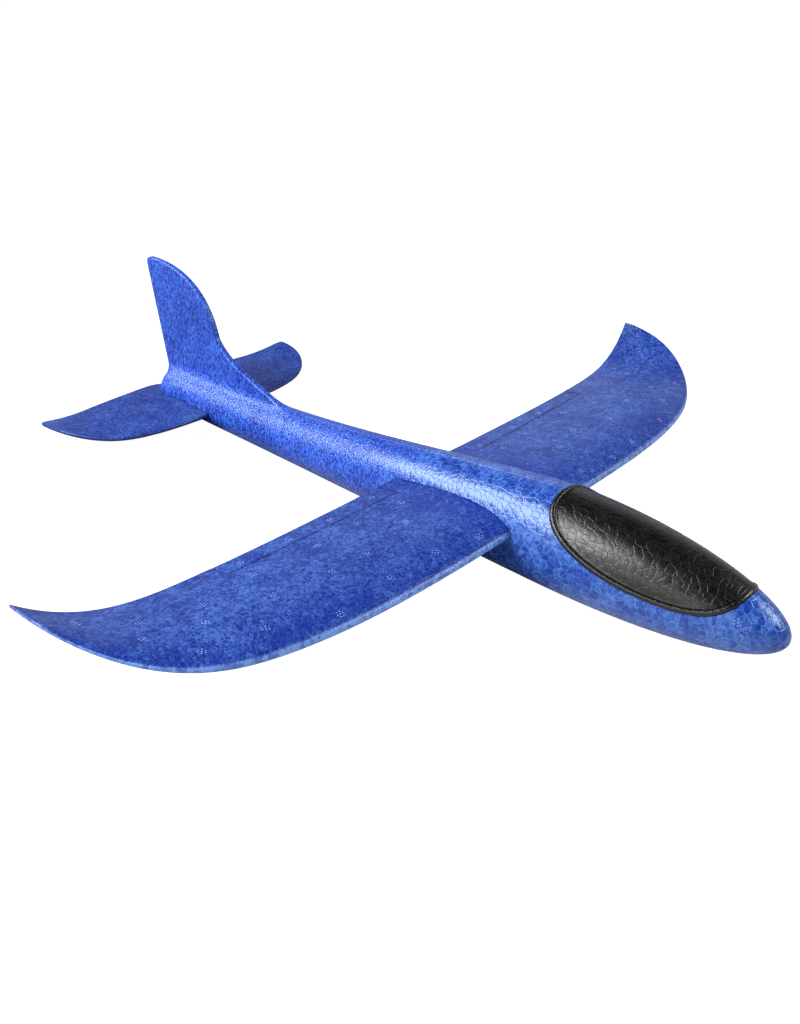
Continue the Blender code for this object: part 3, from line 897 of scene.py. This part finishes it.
class Nodes:
    """Short ways to add shader nodes to one material."""

    def __init__(self, name):
        self.material = bpy.data.materials.new(name)
        self.material.use_nodes = True
        self.tree = self.material.node_tree
        self.shader = self.tree.nodes["Principled BSDF"]

    def add(self, kind, settings=None, **inputs):
        node = self.tree.nodes.new(kind)
        for key, value in (settings or {}).items():
            setattr(node, key, value)
        for key, value in inputs.items():
            self.feed(node.inputs[key.replace("_", " ")], value)
        return node

    def feed(self, socket, value):
        if isinstance(value, bpy.types.NodeSocket):
            self.tree.links.new(value, socket)
        else:
            socket.default_value = value

    def math(self, operation, first, second=0.0):
        node = self.tree.nodes.new("ShaderNodeMath")
        node.operation = operation
        self.feed(node.inputs[0], first)
        self.feed(node.inputs[1], second)
        return node.outputs[0]

    def span(self, value, low, high, to_low=0.0, to_high=1.0):
        """Maps a value smoothly from one span to another, held at the ends."""
        node = self.tree.nodes.new("ShaderNodeMapRange")
        node.interpolation_type = "SMOOTHSTEP"
        for index, part in enumerate((value, low, high, to_low, to_high)):
            self.feed(node.inputs[index], part)
        return node.outputs[0]

    def mix(self, share, first, second, blend="MIX"):
        node = self.tree.nodes.new("ShaderNodeMix")
        node.data_type = "RGBA"
        node.blend_type = blend
        self.feed(node.inputs[0], share)
        self.feed(node.inputs[6], first)
        self.feed(node.inputs[7], second)
        return node.outputs[2]

    def blend(self, share, first, second):
        """Mixes two plain numbers."""
        node = self.tree.nodes.new("ShaderNodeMix")
        node.data_type = "FLOAT"
        self.feed(node.inputs[0], share)
        self.feed(node.inputs[2], first)
        self.feed(node.inputs[3], second)
        return node.outputs[0]

    def place(self):
        return self.tree.nodes.new("ShaderNodeTexCoord").outputs["Object"]

    def mapped(self, vector, scale, rotation=(0, 0, 0)):
        return self.add("ShaderNodeMapping", Vector=vector, Scale=scale, Rotation=rotation).outputs[0]

    def noise(self, vector, size, detail=2.0, rough=0.5):
        return self.add("ShaderNodeTexNoise", Vector=vector, Scale=1 / size, Detail=detail, Roughness=rough)

    def warped(self, vector, size, amount):
        """A vector pushed about by noise, so that cell walls wander."""
        pushed = self.add("ShaderNodeVectorMath", {"operation": "SUBTRACT"})
        self.feed(pushed.inputs[0], self.noise(vector, size).outputs["Color"])
        pushed.inputs[1].default_value = (0.5, 0.5, 0.5)
        scaled = self.add("ShaderNodeVectorMath", {"operation": "SCALE"}, Scale=amount)
        self.feed(scaled.inputs[0], pushed.outputs[0])
        total = self.add("ShaderNodeVectorMath", {"operation": "ADD"})
        self.feed(total.inputs[0], vector)
        self.feed(total.inputs[1], scaled.outputs[0])
        return total.outputs[0]

    def cells(self, vector, size):
        """Bead cells: a random tone for each, the distance from its wall and from its middle."""
        settings = {"Vector": vector, "Scale": 1 / size, "Randomness": 0.78}
        first = self.add("ShaderNodeTexVoronoi", **settings)
        edge = self.add("ShaderNodeTexVoronoi", {"feature": "DISTANCE_TO_EDGE"}, **settings)
        tone = self.add("ShaderNodeSeparateColor", Color=first.outputs["Color"]).outputs[0]
        return tone, edge.outputs["Distance"], first.outputs["Distance"]

    def bump(self, height, distance, normal=None):
        node = self.add("ShaderNodeBump", Height=height, Distance=distance)
        if normal:
            self.feed(node.inputs["Normal"], normal)
        return node.outputs[0]

    def done(self, colour, roughness, normal):
        self.feed(self.shader.inputs["Base Color"], colour)
        self.feed(self.shader.inputs["Roughness"], roughness)
        self.feed(self.shader.inputs["Normal"], normal)
        return self.material

    def sheen(self):
        """The bluish gloss of the moulded skin."""
        self.shader.inputs["Specular Tint"].default_value = (0.70, 0.92, 1.0, 1)
        self.shader.inputs["Specular IOR Level"].default_value = 0.58


BODY_BEAD = 0.0042
TAIL_BEAD = 0.0019
SHEET_BEAD = 0.0024
CANOPY_BEAD = 0.0040
BODY_BLUES = ((0.005, 0.022, 0.20, 1), (0.016, 0.064, 0.34, 1), (0.068, 0.160, 0.48, 1))
TAIL_BLUES = ((0.001, 0.007, 0.17, 1), (0.004, 0.032, 0.39, 1), (0.032, 0.125, 0.62, 1))
SHEET_BLUES = ((0.003, 0.013, 0.145, 1), (0.013, 0.045, 0.265, 1), (0.048, 0.112, 0.39, 1))
STAB_BLUES = ((0.002, 0.010, 0.13, 1), (0.007, 0.030, 0.22, 1), (0.028, 0.076, 0.34, 1))
# Dark blue painted as shade at the wing's root and just behind its leading edge.
BLUE_PAINTED_SHADE = (0.003, 0.018, 0.23, 1)
BLUE_WALL = (0.120, 0.230, 0.66, 1)
# Dark blue painted as shade in the hinge gap and the flap's end cuts.
BLUE_GAP_SHADE = (0.003, 0.010, 0.12, 1)
# Pale blue painted as a highlight along the wing's leading edge.
BLUE_PAINTED_HIGHLIGHT = (0.200, 0.370, 0.88, 1)


def foam_level(n, tone, grain, flecks, patch):
    """How pale the foam is at a place, by the bead's tone, the grain, the flecks and broad patches."""
    level = n.math("ADD", n.math("MULTIPLY", tone, 0.16), n.math("MULTIPLY", grain, 0.52))
    level = n.math("ADD", level, n.math("MULTIPLY", flecks, 0.38))
    return n.math("ADD", level, n.math("MULTIPLY", patch, 0.22))


def foam_colour(n, level, blues):
    """Blue from dark over middle to pale."""
    ramp = n.add("ShaderNodeValToRGB", Fac=level)
    ramp.color_ramp.elements[0].color = blues[0]
    ramp.color_ramp.elements[1].color = blues[2]
    ramp.color_ramp.elements.new(0.50).color = blues[1]
    return ramp.outputs[0]


def foam_body(name):
    """Blue bead foam of the fuselage: large beads on the barrel, drawn-out flecks on boom and fin."""
    n = Nodes(name)
    n.sheen()
    place = n.place()
    warped = n.warped(place, 0.0060, 0.0012)
    tone, wall, middle = n.cells(warped, BODY_BEAD)
    grain = n.noise(n.warped(place, 0.003, 0.002), 0.0021, 2.0, 0.55).outputs[0]
    flecks = n.noise(place, 0.0008, 2.0, 0.6).outputs[0]
    aft = n.span(n.add("ShaderNodeSeparateXYZ", Vector=place).outputs["Y"], -0.06, 0.05)
    drawn = n.mapped(place, (1.0, 1.0, 0.40), (math.radians(-24), 0, 0))
    streaks = n.warped(drawn, 0.0030, 0.0016)
    tail_tone, tail_wall, tail_middle = n.cells(streaks, TAIL_BEAD)
    tail_grain = n.span(n.noise(streaks, 0.0010, 3.0, 0.6).outputs[0], 0.28, 0.72)
    tone = n.blend(aft, tone, tail_tone)
    wall = n.blend(aft, wall, tail_wall)
    middle = n.blend(aft, middle, tail_middle)
    grain = n.blend(aft, grain, tail_grain)
    patch = n.noise(place, 0.022, 2.0).outputs[0]
    level = foam_level(n, tone, grain, flecks, patch)
    body_colour = foam_colour(n, n.span(level, 0.42, 0.86), BODY_BLUES)
    tail_colour = foam_colour(n, n.span(level, 0.38, 0.88), TAIL_BLUES)
    colour = n.mix(aft, body_colour, tail_colour)
    line = n.math("MULTIPLY", n.span(wall, 0.0, 0.06, 1.0, 0.0), n.span(patch, 0.30, 0.60, 0.22, 0.55))
    colour = n.mix(line, colour, BLUE_WALL)
    roughness = n.span(grain, 0.30, 0.70, 0.21, 0.30)
    domes = n.bump(n.span(middle, 0.0, 0.8, 1.0, 0.0), 0.00008)
    walls = n.bump(n.span(wall, 0.0, 0.09), 0.00006, domes)
    return n.done(colour, roughness, n.bump(grain, 0.00012, walls))


def wing_leading(n, x_size):
    """The wing's leading edge as y over |x|, the same curve as wing_edges."""
    share = n.math("POWER", n.math("DIVIDE", x_size, HALF_SPAN), WING_LEADING_POWER)
    room = n.math("MAXIMUM", n.math("SUBTRACT", 1.0, share), 0.0)
    reach = n.math("MULTIPLY", n.math("POWER", room, 1 / WING_LEADING_ROUND), WING_LEADING_REACH)
    return n.math("SUBTRACT", WING_TIP_Y, reach)


def hinge_gap_shade(n, x_size, y):
    """Painted shade where the hinge groove runs and where the flap's two ends are cut."""
    slope = (HINGE_OUTER_Y - HINGE_INNER_Y) / (FLAP_OUTER_X - FLAP_INNER_X)
    from_inner = n.math("SUBTRACT", x_size, FLAP_INNER_X)
    hinge_y = n.math("ADD", n.math("MULTIPLY", from_inner, slope), HINGE_INNER_Y)
    behind = n.math("SUBTRACT", y, hinge_y)
    along = n.span(n.math("ABSOLUTE", behind), 0.0004, 0.0010, 1.0, 0.0)
    from_middle = n.math("ABSOLUTE", n.math("SUBTRACT", x_size, (FLAP_INNER_X + FLAP_OUTER_X) / 2))
    half_length = (FLAP_OUTER_X - FLAP_INNER_X) / 2
    in_span = n.math("LESS_THAN", from_middle, half_length + 0.0004)
    from_end = n.math("ABSOLUTE", n.math("SUBTRACT", from_middle, half_length))
    at_end = n.span(from_end, 0.0003, 0.0008, 1.0, 0.0)
    ends = n.math("MULTIPLY", at_end, n.math("GREATER_THAN", behind, 0.0))
    return n.math("MAXIMUM", n.math("MULTIPLY", along, in_span), ends)


def foam_sheet(name, blues, on_wing):
    """Blue bead foam of the wing, flaps and tailplane; on the wing, a painted highlight along the leading
    edge, painted shade at the root and behind the leading edge, and painted shade in the hinge gap.
    """
    n = Nodes(name)
    n.sheen()
    place = n.place()
    warped = n.warped(place, 0.0034, 0.0020)
    tone, wall, middle = n.cells(warped, SHEET_BEAD)
    grain = n.noise(warped, 0.0017, 2.0, 0.6).outputs[0]
    flecks = n.noise(place, 0.0007, 2.0, 0.6).outputs[0]
    patch = n.noise(place, 0.020, 2.0).outputs[0]
    colour = foam_colour(n, n.span(foam_level(n, tone, grain, flecks, patch), 0.44, 0.86), blues)
    if on_wing:
        axes = n.add("ShaderNodeSeparateXYZ", Vector=place)
        x_size = n.math("ABSOLUTE", axes.outputs["X"])
        inside = n.math("SUBTRACT", axes.outputs["Y"], wing_leading(n, x_size))
        # Painted shade: the wing is darkened near the body, where the fuselage shades it, and just behind
        # the leading edge, broken up by random bead spots.
        root_shade = n.span(x_size, 0.030, 0.060, 0.75, 0.0)
        front_shade = n.span(inside, 0.004, 0.030, 0.60, 0.0)
        painted_shade = n.math("MAXIMUM", root_shade, front_shade)
        spots = n.span(n.cells(warped, 0.0034)[0], 0.20, 0.55, 0.15, 1.0)
        colour = n.mix(n.math("MULTIPLY", painted_shade, spots), colour, BLUE_PAINTED_SHADE)
        # Painted highlight: a pale strip along the leading edge stands in for the light caught on the
        # rounded nose.
        highlight_strip = n.span(inside, 0.0002, 0.0019, 0.72, 0.0)
        edge = n.math("MULTIPLY", highlight_strip, n.span(tone, 0.0, 0.8, 0.4, 1.0))
        colour = n.mix(edge, colour, BLUE_PAINTED_HIGHLIGHT)
        # Painted shade along the hinge gap and the flap's end cuts.
        groove = n.math("MULTIPLY", hinge_gap_shade(n, x_size, axes.outputs["Y"]), 0.6)
        colour = n.mix(groove, colour, BLUE_GAP_SHADE)
    line = n.math("MULTIPLY", n.span(wall, 0.0, 0.06, 1.0, 0.0), n.span(patch, 0.35, 0.65, 0.0, 0.25))
    colour = n.mix(line, colour, BLUE_WALL)
    roughness = n.span(grain, 0.30, 0.70, 0.28, 0.42)
    domes = n.bump(n.span(middle, 0.0, 0.8, 1.0, 0.0), 0.00005)
    walls = n.bump(n.span(wall, 0.0, 0.09), 0.00005, domes)
    return n.done(colour, roughness, n.bump(grain, 0.00014, walls))


def pin_foam_painted_highlight(name):
    """The shinier foam of the steam-vent pins, painted paler as a highlight that the pins catch."""
    n = Nodes(name)
    tone = n.noise(n.place(), 0.002, 2.0).outputs[0]
    # Painted highlight: the pins' pale blues stand in for the light the pins catch.
    colour = n.mix(n.span(tone, 0.3, 0.7), (0.090, 0.180, 0.58, 1), (0.260, 0.400, 0.82, 1))
    return n.done(colour, n.span(tone, 0.3, 0.7, 0.28, 0.36), n.bump(tone, 0.00003))


def foam_black(name):
    """Moulded black bead foam with thin pale cracks along some of its cell walls."""
    n = Nodes(name)
    place = n.place()
    warped = n.warped(place, 0.0060, 0.0007)
    tone, wall, middle = n.cells(warped, CANOPY_BEAD)
    grain = n.noise(place, 0.0011, 3.0, 0.65).outputs[0]
    patch = n.noise(place, 0.010, 2.0).outputs[0]
    level = n.math("ADD", n.math("MULTIPLY", tone, 0.16), n.math("MULTIPLY", grain, 0.84))
    body = n.mix(n.span(level, 0.25, 0.75), (0.0010, 0.0009, 0.0009, 1), (0.0050, 0.0043, 0.0041, 1))
    crack = n.math("MULTIPLY", n.span(wall, 0.0, 0.035, 1.0, 0.0), n.span(patch, 0.44, 0.68))
    colour = n.mix(n.math("MULTIPLY", crack, 0.17), body, (0.055, 0.050, 0.047, 1))
    roughness = n.span(level, 0.3, 0.7, 0.25, 0.38)
    domes = n.bump(n.span(middle, 0.0, 0.8, 1.0, 0.0), 0.00006)
    walls = n.bump(n.span(wall, 0.0, 0.06), 0.00005, domes)
    return n.done(colour, roughness, n.bump(grain, 0.00007, walls))


def turned_steel(name):
    """Bare steel with fine rings from turning and a little dulling."""
    n = Nodes(name)
    place = n.place()
    rings = n.noise(n.mapped(place, (0.05, 1, 0.05)), 0.0004, 2.0).outputs[0]
    dull = n.noise(place, 0.004, 3.0).outputs[0]
    colour = n.mix(n.span(dull, 0.35, 0.7), (0.42, 0.42, 0.43, 1), (0.60, 0.60, 0.61, 1))
    roughness = n.span(dull, 0.3, 0.7, 0.26, 0.44)
    n.shader.inputs["Metallic"].default_value = 1.0
    return n.done(colour, roughness, n.bump(rings, 0.00004))


# Studio

CAMERA_AZIMUTH = -47.05
CAMERA_ELEVATION = 30.06
CAMERA_DISTANCE = 0.606
CAMERA_TARGET = Vector((0, 0.0009, -0.0037))
CAMERA_LENS = 34.74


def direction(azimuth, elevation):
    """The unit vector towards a place at that azimuth, 0 in front of the nose, and height."""
    a = math.radians(azimuth)
    e = math.radians(elevation)
    return Vector((math.sin(a) * math.cos(e), -math.cos(a) * math.cos(e), math.sin(e)))


def facing(place, back):
    """A matrix at a place whose -Z axis looks against back."""
    side = Vector((0, 0, 1)).cross(back).normalized()
    turn = Matrix((side, back.cross(side), back)).transposed().to_4x4()
    turn.translation = place
    return turn


def make_camera():
    camera = bpy.data.objects.new("camera", bpy.data.cameras.new("camera"))
    bpy.context.scene.collection.objects.link(camera)
    back = direction(CAMERA_AZIMUTH, CAMERA_ELEVATION)
    camera.matrix_world = facing(CAMERA_TARGET + back * CAMERA_DISTANCE, back)
    camera.data.sensor_width = 36
    camera.data.lens = CAMERA_LENS
    camera.data.clip_start = 0.01
    bpy.context.scene.camera = camera


def softbox(name, azimuth, elevation, distance, width, height, watts):
    lamp = bpy.data.lights.new(name, "AREA")
    lamp.shape = "RECTANGLE"
    lamp.size = width
    lamp.size_y = height
    lamp.energy = watts
    thing = bpy.data.objects.new(name, lamp)
    bpy.context.scene.collection.objects.link(thing)
    back = direction(azimuth, elevation)
    thing.matrix_world = facing(back * distance, back)


def make_floor():
    """A flat round floor, paler in front, lifted to clean white only where the camera looks at it."""
    mesh_data = bmesh.new()
    bmesh.ops.create_circle(mesh_data, cap_ends=True, segments=96, radius=8)
    floor = make_object("floor", mesh_data)
    floor.location.z = -0.0002
    n = Nodes("floor_white")
    tone = n.noise(n.place(), 0.5, 1.0).outputs[0]
    near_white = n.mix(n.span(tone, 0.3, 0.7), (0.54, 0.54, 0.55, 1), (0.57, 0.57, 0.57, 1))
    far_grey = n.mix(n.span(tone, 0.3, 0.7), (0.15, 0.15, 0.16, 1), (0.18, 0.18, 0.18, 1))
    depth = n.add("ShaderNodeSeparateXYZ", Vector=n.place()).outputs["Y"]
    colour = n.mix(n.span(depth, -0.12, 0.18), near_white, far_grey)
    seen = n.tree.nodes.new("ShaderNodeLightPath").outputs["Is Camera Ray"]
    n.feed(n.shader.inputs["Base Color"], colour)
    n.feed(n.shader.inputs["Emission Strength"], n.math("MULTIPLY", seen, 0.98))
    n.shader.inputs["Roughness"].default_value = 0.9
    n.shader.inputs["Specular IOR Level"].default_value = 0.1
    n.shader.inputs["Emission Color"].default_value = (1, 1, 1, 1)
    floor.data.materials.append(n.material)


def make_world():
    """A studio that is pale around the horizon and dark overhead, behind a white backdrop."""
    world = bpy.data.worlds.new("studio")
    world.use_nodes = True
    bpy.context.scene.world = world
    nodes = world.node_tree.nodes
    links = world.node_tree.links
    height = nodes.new("ShaderNodeSeparateXYZ")
    links.new(nodes.new("ShaderNodeTexCoord").outputs["Generated"], height.inputs[0])
    fade = nodes.new("ShaderNodeMapRange")
    fade.interpolation_type = "SMOOTHSTEP"
    fade.inputs["From Min"].default_value = 0.15
    fade.inputs["From Max"].default_value = 0.48
    fade.inputs["To Min"].default_value = 0.55
    fade.inputs["To Max"].default_value = 0.04
    links.new(height.outputs["Z"], fade.inputs["Value"])
    seen = nodes.new("ShaderNodeMath")
    seen.operation = "MAXIMUM"
    links.new(fade.outputs[0], seen.inputs[0])
    links.new(nodes.new("ShaderNodeLightPath").outputs["Is Camera Ray"], seen.inputs[1])
    background = nodes["Background"]
    background.inputs["Color"].default_value = (1, 1, 1, 1)
    links.new(seen.outputs[0], background.inputs["Strength"])


def make_studio():
    make_floor()
    make_world()
    softbox("key", -136, 45, 1.6, 1.45, 0.72, 50)
    softbox("left_fill", -90, 22, 1.6, 1.80, 0.60, 8)
    softbox("front_right", 36, 37, 1.6, 0.95, 0.50, 16)
    softbox("right_fill", 114, 24, 1.6, 1.10, 0.50, 0.7)
    bpy.context.scene.view_settings.view_transform = "Standard"


def main():
    body_foam = foam_body("blue_foam_body")
    wing_foam = foam_sheet("blue_foam_wing", SHEET_BLUES, True)
    tail_foam = foam_sheet("blue_foam_tail", STAB_BLUES, False)
    make_camera()
    make_fuselage(body_foam)
    make_parting_line(body_foam)
    make_wing(wing_foam)
    make_flap("flap_starboard", -1, wing_foam)
    make_flap("flap_port", 1, wing_foam)
    make_stabiliser(tail_foam)
    make_canopy(foam_black("black_foam"))
    make_all_pins(pin_foam_painted_highlight("blue_foam_pin_painted_highlight"))
    make_slug(turned_steel("turned_steel"))
    make_studio()


main()
